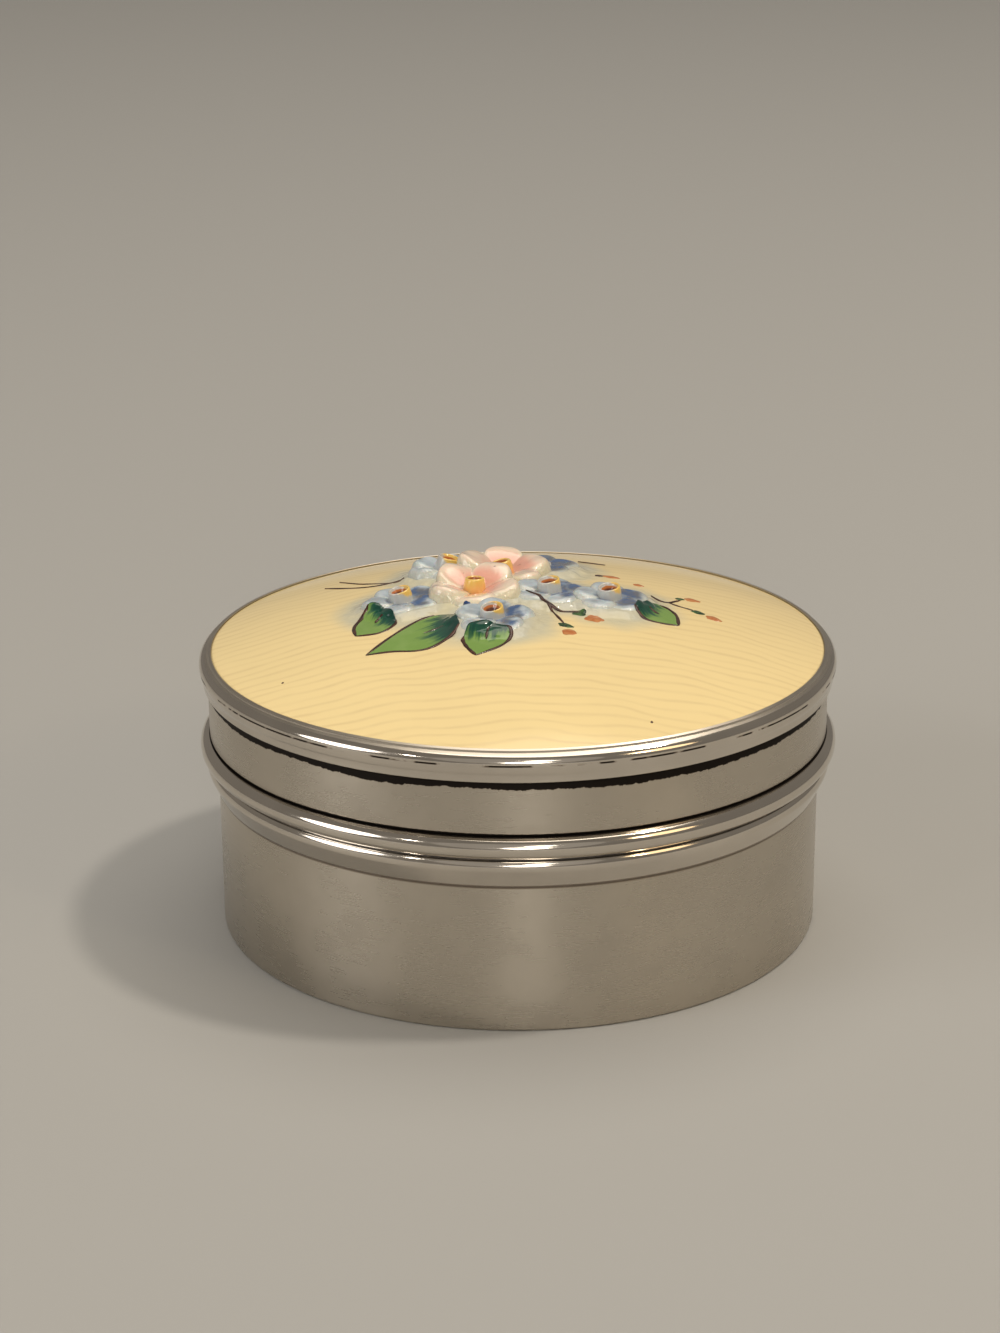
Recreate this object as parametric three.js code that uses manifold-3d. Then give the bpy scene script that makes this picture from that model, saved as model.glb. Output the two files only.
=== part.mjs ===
// Round silver trinket box with a lift-off lid and a domed enamel plaque that carries raised flowers.
// Millimetres, +Z up, origin at the centre of the underside.
import * as THREE from "three";
import { mergeVertices } from "three/addons/utils/BufferGeometryUtils.js";
import Module from "manifold-3d";

// Driving dimensions of the cup
const wallRadius = 30.1;
const wallThickness = 0.8;
const floorThickness = 0.9;
const footRounding = 0.3;
const floorFillet = 0.7;
const collarRounding = 0.2;

// Driving dimensions of the reeded stop ring that is soldered round the cup; its sections run between
// these angles, in degrees up from level
const solderSeam = 0.05;
const wallBelowRing = 14.6;
const skirtHeight = 1.27;
const skirtWidth = 0.1;
const lowerReedProjection = 1.1;
const lowerReedRadius = 0.93;
const upperReedProjection = 1.7;
const upperReedRadius = 1.05;
const reedPitch = 1.95;
const lowerReedFoot = -28;
const reedCrease = 50;
const upperReedCrown = 90;

// Driving dimensions of the lid
const lidClearance = 0.15;
const lidWall = 0.6;
const lidHeight = 7.3;
const lidPlateThickness = 0.5;
const lidEdgeRounding = 0.38;
const collarClearance = 0.4;

// Driving dimensions of the moulded bezel ring that holds the plaque, with its roll's angles in degrees
const bezelDrop = 1.9;
const bezelProjection = 0.8;
const bezelRollRadius = 0.9;
const bezelRollDrop = 1.2;
const bezelLipHeight = 0.35;
const bezelLipProjection = 0.48;
const bezelCoveDepth = 0.08;
const bezelRim = 0.45;
const bezelRimThickness = 0.12;
const burnishGap = 0.05;
const rollFoot = -48;
const rollHollow = -16;
const rollCrown = 62;

// Driving dimensions of the enamel plaque
const plaqueClearance = 0.25;
const plaqueEdge = 0.95;
const plaqueRise = 4.8;
const plaqueThickness = 1.5;
const plaqueSeat = 2.0;

// Driving dimensions of the raised flowers: a petal's length is measured from the middle of its flower,
// and its shoulder and the flare of its foot in the enamel bed are shares of that length
const pinkFlower = {
  petalLength: 4.7, petalNotch: 1.5, rimLift: 2.3, notchDrop: 0.8, heartHeight: 0.5,
  tubeRadius: 1.1, tubeHeight: 2.2, tubeBore: 0.6,
};
const blueFlower = {
  petalLength: 4.2, petalNotch: 1.3, rimLift: 1.0, notchDrop: 0.4, heartHeight: 0.35,
  tubeRadius: 1.2, tubeHeight: 1.65, tubeBore: 0.7,
};
const tubeBoreDepth = 0.6;
const bedDepth = 0.5;
const petalsPerFlower = 5;
const petalShoulder = 0.68;
const petalFlare = 0.08;
const lobeSharpness = 0.7;

// Where each flower grows on the plaque, seen from above, and how far it is turned, in degrees
const bouquet = [
  { flower: pinkFlower, x: -4.2, y: 0.2, turn: 54 },
  { flower: pinkFlower, x: -1.3, y: 7.0, turn: 18 },
  { flower: blueFlower, x: -2.3, y: -6.9, turn: 10 },
  { flower: blueFlower, x: -11.3, y: -0.8, turn: 40 },
  { flower: blueFlower, x: 3.3, y: 0.3, turn: 0 },
  { flower: blueFlower, x: 9.2, y: -0.9, turn: 20 },
  { flower: blueFlower, x: -7.3, y: 9.4, turn: 65 },
  { flower: blueFlower, x: 2.4, y: 10.6, turn: 15 },
];

// How finely the round forms are faceted, and the edge length below which a joint's corners run together
const ringSides = 56;
const sidesPerPetal = 6;
const tubeSides = 8;
const weldLength = 0.01;

// Colours of the materials
const satinSilver = 0xb3aea4;
const polishedSilver = 0xc4bfb6;
const creamEnamel = 0xf0dca6;

// Sizes that follow from the ones above
const stopRingTop = wallBelowRing + skirtHeight + lowerReedRadius + reedPitch + upperReedRadius;
const ringBore = wallRadius + solderSeam;
const bandInner = wallRadius + lidClearance;
const bandOuter = bandInner + lidWall;
const plateTop = stopRingTop + lidHeight;
const plateUnderside = plateTop - lidPlateThickness;
const cupTop = plateUnderside - collarClearance;
const bezelBore = bandOuter + solderSeam;
const bezelBottom = plateTop - bezelDrop;
const plaqueRadius = bezelBore - plaqueClearance;
const plaqueShown = bezelBore - bezelRim;
const plaqueEdgeTop = plateTop + plaqueEdge;
const rimUnderside = plaqueEdgeTop + burnishGap;
const bezelTop = rimUnderside + bezelRimThickness;
const dome = sphereThrough(plaqueShown, plaqueRise, plaqueEdgeTop);
const domeUnderside = sphereThrough(plaqueRadius - plaqueSeat, plaqueEdge + plaqueRise - plaqueThickness, plateTop);

const wasm = await Module();
wasm.setup();

function at(radius, height) {
  return new THREE.Vector2(radius, height);
}

// A stretch of ellipse in the profile plane, from one angle to another in degrees
function arc(centre, radiusAcross, radiusUp, from, to, steps) {
  const points = [];
  for (let step = 0; step <= steps; step += 1) {
    const angle = THREE.MathUtils.degToRad(from + ((to - from) * step) / steps);
    points.push(at(centre.x + radiusAcross * Math.cos(angle), centre.y + radiusUp * Math.sin(angle)));
  }
  return points;
}

// The sphere, centred on the upright axis, whose cap has this radius at a height and rises this far above it
function sphereThrough(capRadius, capRise, height) {
  const radius = (capRadius ** 2 + capRise ** 2) / (2 * capRise);
  return { radius, centre: height + capRise - radius };
}

function heightOn(sphere, distance) {
  return sphere.centre + Math.sqrt(sphere.radius ** 2 - distance ** 2);
}

function capCurve(sphere, fromDistance, toDistance, steps) {
  const points = [];
  for (let step = 0; step <= steps; step += 1) {
    const distance = fromDistance + ((toDistance - fromDistance) * step) / steps;
    points.push(at(distance, heightOn(sphere, distance)));
  }
  return points;
}

// A closed geometry whose corners are shared and whose collapsed triangles are gone
function closed(geometry) {
  geometry.deleteAttribute("normal");
  geometry.deleteAttribute("uv");
  const merged = mergeVertices(geometry);
  const corners = merged.index.array;
  const kept = [];
  for (let first = 0; first < corners.length; first += 3) {
    const [a, b, c] = corners.slice(first, first + 3);
    if (a !== b && b !== c && c !== a) {
      kept.push(a, b, c);
    }
  }
  merged.setIndex(kept);
  return merged;
}

// A profile of radius and height turned about the box's upright axis
function turned(profile, sides) {
  const geometry = new THREE.LatheGeometry(profile, sides);
  geometry.rotateX(Math.PI / 2);
  return closed(geometry);
}

function toSolid(geometry) {
  return new wasm.Manifold(new wasm.Mesh({
    numProp: 3,
    vertProperties: Float32Array.from(geometry.attributes.position.array),
    triVerts: Uint32Array.from(geometry.index.array),
  }));
}

function fromSolid(solid) {
  const mesh = solid.getMesh();
  const geometry = new THREE.BufferGeometry();
  geometry.setAttribute("position", new THREE.Float32BufferAttribute(mesh.vertProperties, 3));
  geometry.setIndex(Array.from(mesh.triVerts));
  return geometry;
}

function piece(name, geometry, colour, roughness, metalness) {
  geometry.computeVertexNormals();
  const material = new THREE.MeshStandardMaterial({ color: colour, roughness, metalness, flatShading: true });
  const mesh = new THREE.Mesh(geometry, material);
  mesh.name = name;
  return mesh;
}

// The cup: floor, wall and, above the stop ring, the collar that the lid slides over
function cup() {
  const inner = wallRadius - wallThickness;
  return turned([
    at(0, 0),
    at(wallRadius - footRounding, 0),
    at(wallRadius, footRounding),
    at(wallRadius, cupTop - collarRounding),
    at(wallRadius - collarRounding, cupTop),
    at(inner, cupTop),
    at(inner, floorThickness + floorFillet),
    at(inner - floorFillet, floorThickness),
    at(0, floorThickness),
  ], ringSides);
}

// The stop ring: a proud upper reed and a slimmer lower one whose underside slopes down to the wall
function stopRing() {
  const upper = at(wallRadius + upperReedProjection - upperReedRadius, stopRingTop - upperReedRadius);
  const lower = at(wallRadius + lowerReedProjection - lowerReedRadius, upper.y - reedPitch);
  return turned([
    at(ringBore, wallBelowRing),
    at(ringBore + skirtWidth, wallBelowRing),
    ...arc(lower, lowerReedRadius, lowerReedRadius, lowerReedFoot, reedCrease, 4),
    ...arc(upper, upperReedRadius, upperReedRadius, -reedCrease, upperReedCrown, 5),
    at(ringBore, stopRingTop),
    at(ringBore, wallBelowRing),
  ], ringSides);
}

// The lid's shell: a plain band and the closed plate that the plaque lies on
function lidShell() {
  return turned([
    at(0, plateUnderside),
    at(bandInner, plateUnderside),
    at(bandInner, stopRingTop),
    at(bandOuter - lidEdgeRounding, stopRingTop),
    at(bandOuter, stopRingTop + lidEdgeRounding),
    at(bandOuter, plateTop),
    at(0, plateTop),
  ], ringSides);
}

// The bezel: a small lip, a cove, a full roll and a sloping rim burnished over the plaque's edge
function bezelRing() {
  const lip = bandOuter + bezelLipProjection;
  const lipTop = bezelBottom + bezelLipHeight;
  const roll = at(bandOuter + bezelProjection - bezelRollRadius, bezelTop - bezelRollDrop);
  return turned([
    at(bezelBore, bezelBottom),
    at(lip - bezelCoveDepth, bezelBottom),
    at(lip, bezelBottom + bezelLipHeight / 2),
    at(lip - bezelCoveDepth, lipTop),
    ...arc(roll, bezelRollRadius, roll.y - lipTop, rollFoot, rollHollow, 2),
    ...arc(roll, bezelRollRadius, bezelRollRadius, 0, rollCrown, 3),
    at(plaqueShown, bezelTop),
    at(plaqueShown, rimUnderside),
    at(bezelBore, rimUnderside),
    at(bezelBore, bezelBottom),
  ], ringSides);
}

// The bare plaque: a domed shell that stands on its flat rim
function plaque() {
  return turned([
    ...capCurve(domeUnderside, 0, plaqueRadius - plaqueSeat, 3),
    at(plaqueRadius, plateTop),
    ...capCurve(dome, plaqueRadius, 0, 6),
  ], ringSides);
}

// A flower's petals as one cupped, lobed form: each lobe is a petal, and the rim dips between two petals
function petals(flower) {
  const cupped = turned([
    at(0, -bedDepth),
    at(1 + petalFlare, -bedDepth),
    at(1, flower.rimLift),
    at(petalShoulder, (flower.rimLift + flower.heartHeight) / 2),
    at(0, flower.heartHeight),
  ], sidesPerPetal * petalsPerFlower);
  const position = cupped.attributes.position;
  for (let corner = 0; corner < position.count; corner += 1) {
    const across = position.getX(corner);
    const along = position.getY(corner);
    const share = Math.hypot(across, along);
    const lobe = 1 - Math.abs(Math.cos((petalsPerFlower * Math.atan2(along, across)) / 2)) ** lobeSharpness;
    const reach = flower.petalLength - flower.petalNotch * lobe * share;
    const drop = position.getZ(corner) > 0 ? flower.notchDrop * lobe * share : 0;
    position.setXYZ(corner, across * reach, along * reach, position.getZ(corner) - drop);
  }
  return cupped;
}

// The short tube in a flower's middle, with its blind hole
function tube(flower) {
  return turned([
    at(0, 0),
    at(flower.tubeRadius, 0),
    at(flower.tubeRadius, flower.tubeHeight - tubeBoreDepth),
    at(flower.tubeBore, flower.tubeHeight),
    at(flower.tubeBore, flower.tubeHeight - tubeBoreDepth),
    at(0, flower.tubeHeight - tubeBoreDepth),
  ], tubeSides);
}

// One whole flower, bedded on the dome and square to it
function flowerSolid({ flower, x, y, turn }) {
  const bed = new THREE.Vector3(x, y, heightOn(dome, Math.hypot(x, y)));
  const upright = bed.clone().sub(new THREE.Vector3(0, 0, dome.centre)).normalize();
  const tilt = new THREE.Quaternion().setFromUnitVectors(new THREE.Vector3(0, 0, 1), upright);
  const place = new THREE.Matrix4().compose(bed, tilt, new THREE.Vector3(1, 1, 1));
  const spun = petals(flower).rotateZ(THREE.MathUtils.degToRad(turn));
  return toSolid(spun.applyMatrix4(place)).add(toSolid(tube(flower).applyMatrix4(place)));
}

// The plaque with its whole bouquet, fired together into one piece
function floweredPlaque() {
  let solid = toSolid(plaque());
  for (const entry of bouquet) {
    solid = solid.add(flowerSolid(entry));
  }
  return fromSolid(solid.simplify(weldLength));
}

const box = new THREE.Group();
box.add(piece("box_body", cup(), satinSilver, 0.32, 1.0));
box.add(piece("stop_ring", stopRing(), polishedSilver, 0.12, 1.0));
box.add(piece("lid_shell", lidShell(), satinSilver, 0.32, 1.0));
box.add(piece("bezel_ring", bezelRing(), polishedSilver, 0.12, 1.0));
box.add(piece("enamel_plaque", floweredPlaque(), creamEnamel, 0.12, 0.0));

export default box;
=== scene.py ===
"""Dresses a round silver trinket box: turned silver, a domed enamel plaque and its raised bouquet."""

import math
from types import SimpleNamespace

import bmesh
import bpy
from mathutils import Euler, Matrix, Vector, noise


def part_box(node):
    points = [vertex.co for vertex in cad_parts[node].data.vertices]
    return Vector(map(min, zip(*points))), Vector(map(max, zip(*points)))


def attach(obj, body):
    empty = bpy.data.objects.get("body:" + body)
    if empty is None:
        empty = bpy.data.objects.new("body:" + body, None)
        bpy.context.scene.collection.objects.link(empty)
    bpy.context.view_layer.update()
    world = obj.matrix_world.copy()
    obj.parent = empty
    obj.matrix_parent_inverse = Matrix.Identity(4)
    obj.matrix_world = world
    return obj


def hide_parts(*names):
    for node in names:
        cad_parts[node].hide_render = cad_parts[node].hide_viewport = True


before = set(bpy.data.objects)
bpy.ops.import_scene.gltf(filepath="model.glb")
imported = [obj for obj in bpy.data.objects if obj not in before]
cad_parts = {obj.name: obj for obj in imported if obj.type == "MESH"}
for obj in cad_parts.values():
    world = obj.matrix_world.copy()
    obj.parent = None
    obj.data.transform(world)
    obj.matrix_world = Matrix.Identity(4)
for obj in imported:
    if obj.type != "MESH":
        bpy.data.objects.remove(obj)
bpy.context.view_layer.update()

bl_info = {
    "name": "Silver Trinket Box",
    "version": (1, 0, 0),
    "blender": (4, 5, 0),
    "location": "View3D > Sidebar > Trinket Box",
    "description": "Builds a silver trinket box with a flowered enamel lid around its fixed frame",
    "category": "Add Mesh",
}

# Sizes in metres, read from the frame where it holds them
MM = 0.001
WALL_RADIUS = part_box("box_body")[1].x
COLLAR_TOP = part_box("box_body")[1].z
RING_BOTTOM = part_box("stop_ring")[0].z
RING_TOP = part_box("stop_ring")[1].z
RING_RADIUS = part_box("stop_ring")[1].x
BAND_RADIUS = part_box("lid_shell")[1].x
PLATE_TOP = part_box("lid_shell")[1].z
BEZEL_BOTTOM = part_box("bezel_ring")[0].z
BEZEL_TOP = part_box("bezel_ring")[1].z
BEZEL_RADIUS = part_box("bezel_ring")[1].x
PLAQUE_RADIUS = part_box("enamel_plaque")[1].x
WALL = 0.8 * MM
FLOOR = 0.9 * MM
BAND_INNER = WALL_RADIUS + 0.15 * MM
BEZEL_BORE = BAND_RADIUS + 0.05 * MM
ENAMEL_RADIUS = 30.45 * MM
ENAMEL_EDGE = PLATE_TOP + 0.95 * MM
DOME_RISE = 4.8 * MM
DOME_SPHERE = (ENAMEL_RADIUS ** 2 + DOME_RISE ** 2) / (2 * DOME_RISE)
DOME_CENTRE = ENAMEL_EDGE + DOME_RISE - DOME_SPHERE
FULL_TURN = 2 * math.pi


# What the flowers of one colour share, in millimetres: a petal's height at its heart and rim, what the rim
# gains at the flower's back and on its right, how a petal cups, twists and ruffles, how wide its rim rolls
# over and what that gains at the back, and the tube's radius, height, mouth and throat
PINK = SimpleNamespace(heart=0.45, rim=1.72, back=0.55, right=0.0, cup=-0.24, twist=0.22, ruffle=0.22,
                       roll=0.78, back_roll=-0.12, tube_radius=1.08, tube_height=2.15, mouth=0.66,
                       throat=0.50, lip_share=0.95)
BLUE = SimpleNamespace(heart=0.48, rim=0.86, back=0.14, right=-0.10, cup=0.06, twist=0.15, ruffle=0.18,
                       roll=1.0, back_roll=0.0, tube_radius=1.18, tube_height=1.62, mouth=0.90,
                       throat=0.40, lip_share=0.97)
PETALS = 5
# Where a petal's disc lies, as shares of the petal's length
PETAL_MIDDLE = 0.53
PETAL_HALF_LENGTH = 0.47
PETAL_HALF_WIDTH = 0.48


class Flower:
    """One raised flower: where it grows on the lid in millimetres and how it differs from its kind."""

    def __init__(self, name, kind, x, y, turn, seed, lean=(0, 0), tall=1.0, wash=0.0, rise=1.0, left=0.0):
        self.name = name
        self.kind = kind
        self.x = x * MM
        self.y = y * MM
        self.turn = math.radians(turn)
        self.seed = seed
        self.lean = lean
        self.tall = tall
        self.wash = wash
        self.rise = rise
        self.left = left

    def reach(self):
        """Length of the flower's petals."""
        look = bpy.context.scene.trinket_bouquet
        return look.pink_petal if self.kind is PINK else look.blue_petal


# The flowers: lean tips a tube over in degrees, tall and rise scale the tube and petals, wash deepens the
# blue, and left lifts the petals on the flower's left by so many millimetres more
FLOWERS = (
    Flower("pink_flower_front", PINK, -4.2, 0.2, 54, 1.7, (-4, 0), tall=0.84, rise=1.09, left=0.20),
    Flower("pink_flower_back", PINK, -1.3, 7.0, 18, 9.0, (-2, -12), tall=0.78, left=0.72),
    Flower("blue_flower_front", BLUE, -2.3, -6.9, 10, 16.3, (10, -8), tall=0.90),
    Flower("blue_flower_left", BLUE, -11.3, -0.8, 40, 23.6, (4, -14)),
    Flower("blue_flower_middle", BLUE, 3.3, 0.3, 2, 30.9, (3, -8), wash=0.1),
    Flower("blue_flower_right", BLUE, 9.2, -0.9, 20, 38.2, (6, -6), wash=0.1),
    Flower("blue_flower_back_left", BLUE, -7.3, 9.4, 65, 45.5, (-2, 12), tall=1.15, wash=-0.3, rise=1.5),
    Flower("blue_flower_back_right", BLUE, 2.4, 10.6, 15, 52.8, tall=0.40, wash=0.6),
)


# Heights on the dome

def dome_height(x, y):
    """Height of the bare enamel above the table at a place on the lid."""
    return DOME_CENTRE + math.sqrt(DOME_SPHERE ** 2 - x * x - y * y)


def on_dome(x, y, lift=0.0):
    """The point that lies lift above the bare enamel, square to it."""
    centre = Vector((0, 0, DOME_CENTRE))
    out = (Vector((x, y, dome_height(x, y))) - centre).normalized()
    return centre + out * (DOME_SPHERE + lift)


def smooth_step(low, high, value):
    """Rises smoothly from 0 at low to 1 at high."""
    share = min(1.0, max(0.0, (value - low) / (high - low)))
    return share * share * (3 - 2 * share)


def past_petals(x, y, blue_only=False):
    """Distance from a place on the lid to the nearest flower's petals, in metres; less than 0 among them."""
    return min(math.hypot(x - flower.x, y - flower.y) - flower.reach()
               for flower in FLOWERS if not (blue_only and flower.kind is PINK))


def ground_height(x, y):
    """Height of the milky enamel that the flowers are bedded in, in metres."""
    look = bpy.context.scene.trinket_bouquet
    away = past_petals(x, y)
    if away > look.ground_margin:
        return 0.0
    lumps = noise.noise(Vector((x, y, 0)) / (1.3 * MM)) + 0.4 * noise.noise(Vector((x, y, MM)) / (0.55 * MM))
    share = 1 - smooth_step(-0.3 * MM, look.ground_margin, away + 0.5 * MM * lumps)
    share *= 0.55 + 0.45 * smooth_step(-1.6 * MM, -0.4 * MM, away)
    return look.ground_height * share * (1 + 0.25 * lumps)


def milkiness(x, y):
    """How milky the enamel looks, from 0 on the bare cream to 1 beside the flowers."""
    look = bpy.context.scene.trinket_bouquet
    wander = noise.noise(Vector((x, y, 3 * MM)) / (3 * MM)) * 0.9 * MM
    return 1 - smooth_step(0.3 * MM, look.milk_reach, past_petals(x, y) + wander)


def haziness(x, y):
    """How blue the milky enamel looks: most beside the blue flowers."""
    wander = noise.noise(Vector((x, y, 8 * MM)) / (1.8 * MM)) * 1.2 * MM
    return 1 - smooth_step(-0.6 * MM, 1.6 * MM, past_petals(x, y, True) + wander)


# Meshes

def arc(centre_r, centre_z, across, up, start, end, steps):
    """Profile points on a stretch of ellipse, from one angle to another in degrees."""
    points = []
    for step in range(steps + 1):
        angle = math.radians(start + (end - start) * step / steps)
        points.append((centre_r + across * math.cos(angle), centre_z + up * math.sin(angle)))
    return points


def spun(bm, profile, steps):
    """Spins a closed profile of radius and height about the upright axis into a closed skin."""
    verts = [bm.verts.new((radius, 0, height)) for radius, height in profile]
    edges = [bm.edges.new((verts[k], verts[k + 1])) for k in range(len(verts) - 1)]
    if profile[0][0] > 0:
        edges.append(bm.edges.new((verts[-1], verts[0])))
    bmesh.ops.spin(bm, geom=verts + edges, cent=(0, 0, 0), axis=(0, 0, 1), dvec=(0, 0, 0),
                   angle=FULL_TURN, steps=steps, use_merge=True, use_duplicate=False)
    bmesh.ops.remove_doubles(bm, verts=bm.verts, dist=0.0005 * MM)
    bmesh.ops.recalc_face_normals(bm, faces=bm.faces)


def placed(name, data):
    """Puts a mesh, a lamp or a camera into the scene."""
    made = bpy.data.objects.new(name, data)
    bpy.context.scene.collection.objects.link(made)
    return made


def meshed(name, bm, material):
    """Puts a mesh of one material into the scene."""
    mesh = bpy.data.meshes.new(name)
    bm.to_mesh(mesh)
    bm.free()
    mesh.materials.append(material)
    return placed(name, mesh)


def finished(name, bm, material, node, sharp):
    """Makes a piece of the mesh, smooth but for its sharp edges, riding on the box in place of a node."""
    for face in bm.faces:
        face.smooth = True
    piece = meshed(name, bm, material)
    piece.data.set_sharp_from_angle(angle=math.radians(sharp))
    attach(piece, "root")
    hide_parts(node)


def turned(name, profile, finish, satin, node):
    """Turns a satin or polished silver piece from its profile, as on a lathe."""
    bm = bmesh.new()
    spun(bm, profile, bpy.context.scene.trinket_silver.turn_steps)
    slot_name, sharp = ("satin_silver", 40) if satin else ("polished_silver", 32)
    finished(name, bm, silver_finish(finish, satin), node, sharp)


def enamelled(name, bm, material, sharp):
    """Finishes a piece that was fired together with the plaque."""
    finished(name, bm, material, "enamel_plaque", sharp)


def point_layer(bm, name):
    """A float layer on the mesh's points that a material reads by its name."""
    return bm.verts.layers.float.new(name)


# Shader maths

class Signal:
    """A socket whose arithmetic adds Math nodes to its material."""

    def __init__(self, maker, socket):
        self.maker = maker
        self.socket = socket

    def math(self, operation, *others):
        return self.maker.node("ShaderNodeMath", {"operation": operation}, [self, *others])

    def __add__(self, other):
        return self.math("ADD", other)

    def __sub__(self, other):
        return self.math("SUBTRACT", other)

    def __rsub__(self, other):
        return self.maker.node("ShaderNodeMath", {"operation": "SUBTRACT"}, [other, self])

    def __mul__(self, other):
        return self.math("MULTIPLY", other)

    def __pow__(self, other):
        return self.math("POWER", other)

    def clamped(self):
        return self.maker.node("ShaderNodeClamp", {}, [self, 0.0, 1.0])

    def above(self, low, high):
        """0 below low, 1 above high, smooth between them."""
        return self.maker.node("ShaderNodeMapRange", {"interpolation_type": "SMOOTHSTEP"},
                               [self, low, high, 0.0, 1.0])

    def beside(self, level, near, far):
        """1 within near of a level, 0 past far of it."""
        away = self - level
        return 1 - (away * away).above(near * near, far * far)


class Finish:
    """A material in the making: one Principled shader and the nodes that feed it.

    Its place holds the piece's own coordinates in millimetres.
    """

    def __init__(self, name):
        self.material = bpy.data.materials.new(name)
        self.material.use_nodes = True
        self.tree = self.material.node_tree
        self.shader = self.tree.nodes["Principled BSDF"]
        spot = self.node("ShaderNodeTexCoord", {}, {}, "Object")
        self.place = self.node("ShaderNodeVectorMath", {"operation": "SCALE"}, {0: spot, "Scale": 1 / MM})

    def node(self, kind, settings, values, output=0):
        """Adds a node with its settings, then its inputs by place or by name, and returns one output."""
        made = self.tree.nodes.new(kind)
        for key, value in settings.items():
            setattr(made, key, value)
        items = values.items() if isinstance(values, dict) else enumerate(values)
        for key, value in items:
            self.feed(made.inputs[key], value)
        return Signal(self, made.outputs[output])

    def feed(self, socket, value):
        if isinstance(value, Signal):
            self.tree.links.new(value.socket, socket)
        else:
            socket.default_value = value

    def split(self, vector):
        parts = self.node("ShaderNodeSeparateXYZ", {}, [vector]).socket.node
        return [Signal(self, parts.outputs[k]) for k in range(3)]

    def joined(self, x, y, z):
        return self.node("ShaderNodeCombineXYZ", {}, [x, y, z])

    def layer(self, name):
        """A float layer of the mesh's points."""
        return self.node("ShaderNodeAttribute", {"attribute_name": name}, {}, "Fac")

    def noise(self, scale, detail=2.0, rough=0.5, distortion=0.0, place=None):
        """Noise at the piece's own coordinates, or at another place."""
        return self.node("ShaderNodeTexNoise", {},
                         {"Vector": place or self.place, "Scale": scale, "Detail": detail,
                          "Roughness": rough, "Distortion": distortion})

    def mix(self, share, low, high):
        """Blends two colours, or a colour with a colour signal."""
        made = self.tree.nodes.new("ShaderNodeMix")
        made.data_type = "RGBA"
        self.feed(made.inputs["Factor"], share)
        self.feed(made.inputs[6], low)
        self.feed(made.inputs[7], high)
        return Signal(self, made.outputs[2])

    def bump(self, height, distance, strength=1.0):
        return self.node("ShaderNodeBump", {},
                         {"Strength": strength, "Distance": distance, "Height": height})

    def surface(self, **values):
        """Sets the shader's sockets: names are the sockets' own with spaces for underscores."""
        for key, value in values.items():
            self.feed(self.shader.inputs[key.replace("_", " ")], value)
        return self.material


def rgba(colour, share=1.0):
    return (colour[0] * share, colour[1] * share, colour[2] * share, 1.0)


# Settings

def tint(name, where, default):
    return bpy.props.FloatVectorProperty(name=name, description=f"Colour {where}", default=default,
                                         subtype="COLOR", size=3, min=0.0, max=1.0)


def measure(name, description, default):
    return bpy.props.FloatProperty(name=name, description=description, default=default,
                                   unit="LENGTH", subtype="DISTANCE", min=0.0)


def portion(name, description, default):
    return bpy.props.FloatProperty(name=name, description=description, default=default,
                                   subtype="FACTOR", min=0.0, max=1.0)


def slant(name, description, degrees):
    return bpy.props.FloatProperty(name=name, description=description, default=math.radians(degrees),
                                   subtype="ANGLE")


class SilverSettings(bpy.types.PropertyGroup):
    """Finish of the silver cup, ring, lid and bezel."""

    satin_colour: tint("Satin silver", "of the satin walls", (0.55, 0.498, 0.42))
    polished_colour: tint("Polished silver", "of the mouldings", (0.66, 0.605, 0.53))
    # The tarnished black and its brown fringe also paint shade into the seams, a shadow at the ring's foot
    # and dark reflection lines on the bezel's roll
    tarnish_and_shade_colour: tint("Tarnish", "of the sulphide in the seams", (0.012, 0.009, 0.007))
    stain_and_shade_colour: tint("Stain", "where the tarnish thins out", (0.16, 0.10, 0.055))
    satin_roughness: portion("Satin roughness", "How soft the walls' reflections are", 0.28)
    polished_roughness: portion("Polished roughness", "How soft the mouldings' reflections are", 0.10)
    tarnish_height: measure("Tarnish height", "Height of the black line below the bezel", 0.90 * MM)
    turn_steps: bpy.props.IntProperty(name="Steps round", description="Faces round each turned piece",
                                      default=320, min=32)


class EnamelSettings(bpy.types.PropertyGroup):
    """Finish of the enamel plaque."""

    cream_colour: tint("Cream", "of the bare enamel", (0.93, 0.75, 0.39))
    line_colour: tint("Cut lines", "over the engine-turned lines", (0.66, 0.49, 0.25))
    milk_colour: tint("Milky ground", "of the milky enamel", (0.62, 0.59, 0.43))
    haze_colour: tint("Blue haze", "of the bluish milky enamel", (0.535, 0.555, 0.50))
    edge_colour: tint("Edge line", "of the dirt line at the bezel", (0.10, 0.065, 0.04))
    line_pitch: measure("Line pitch", "Distance between two engine-turned lines", 1.4 * MM)
    wave_length: measure("Wave length", "Length of one wave along a line", 10.0 * MM)
    wave_height: measure("Wave height", "How far a line waves to each side", 0.26 * MM)
    line_strength: portion("Line strength", "How strongly the cut lines show", 0.36)
    gloss_roughness: portion("Gloss roughness", "How soft the enamel's reflections are", 0.11)


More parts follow.
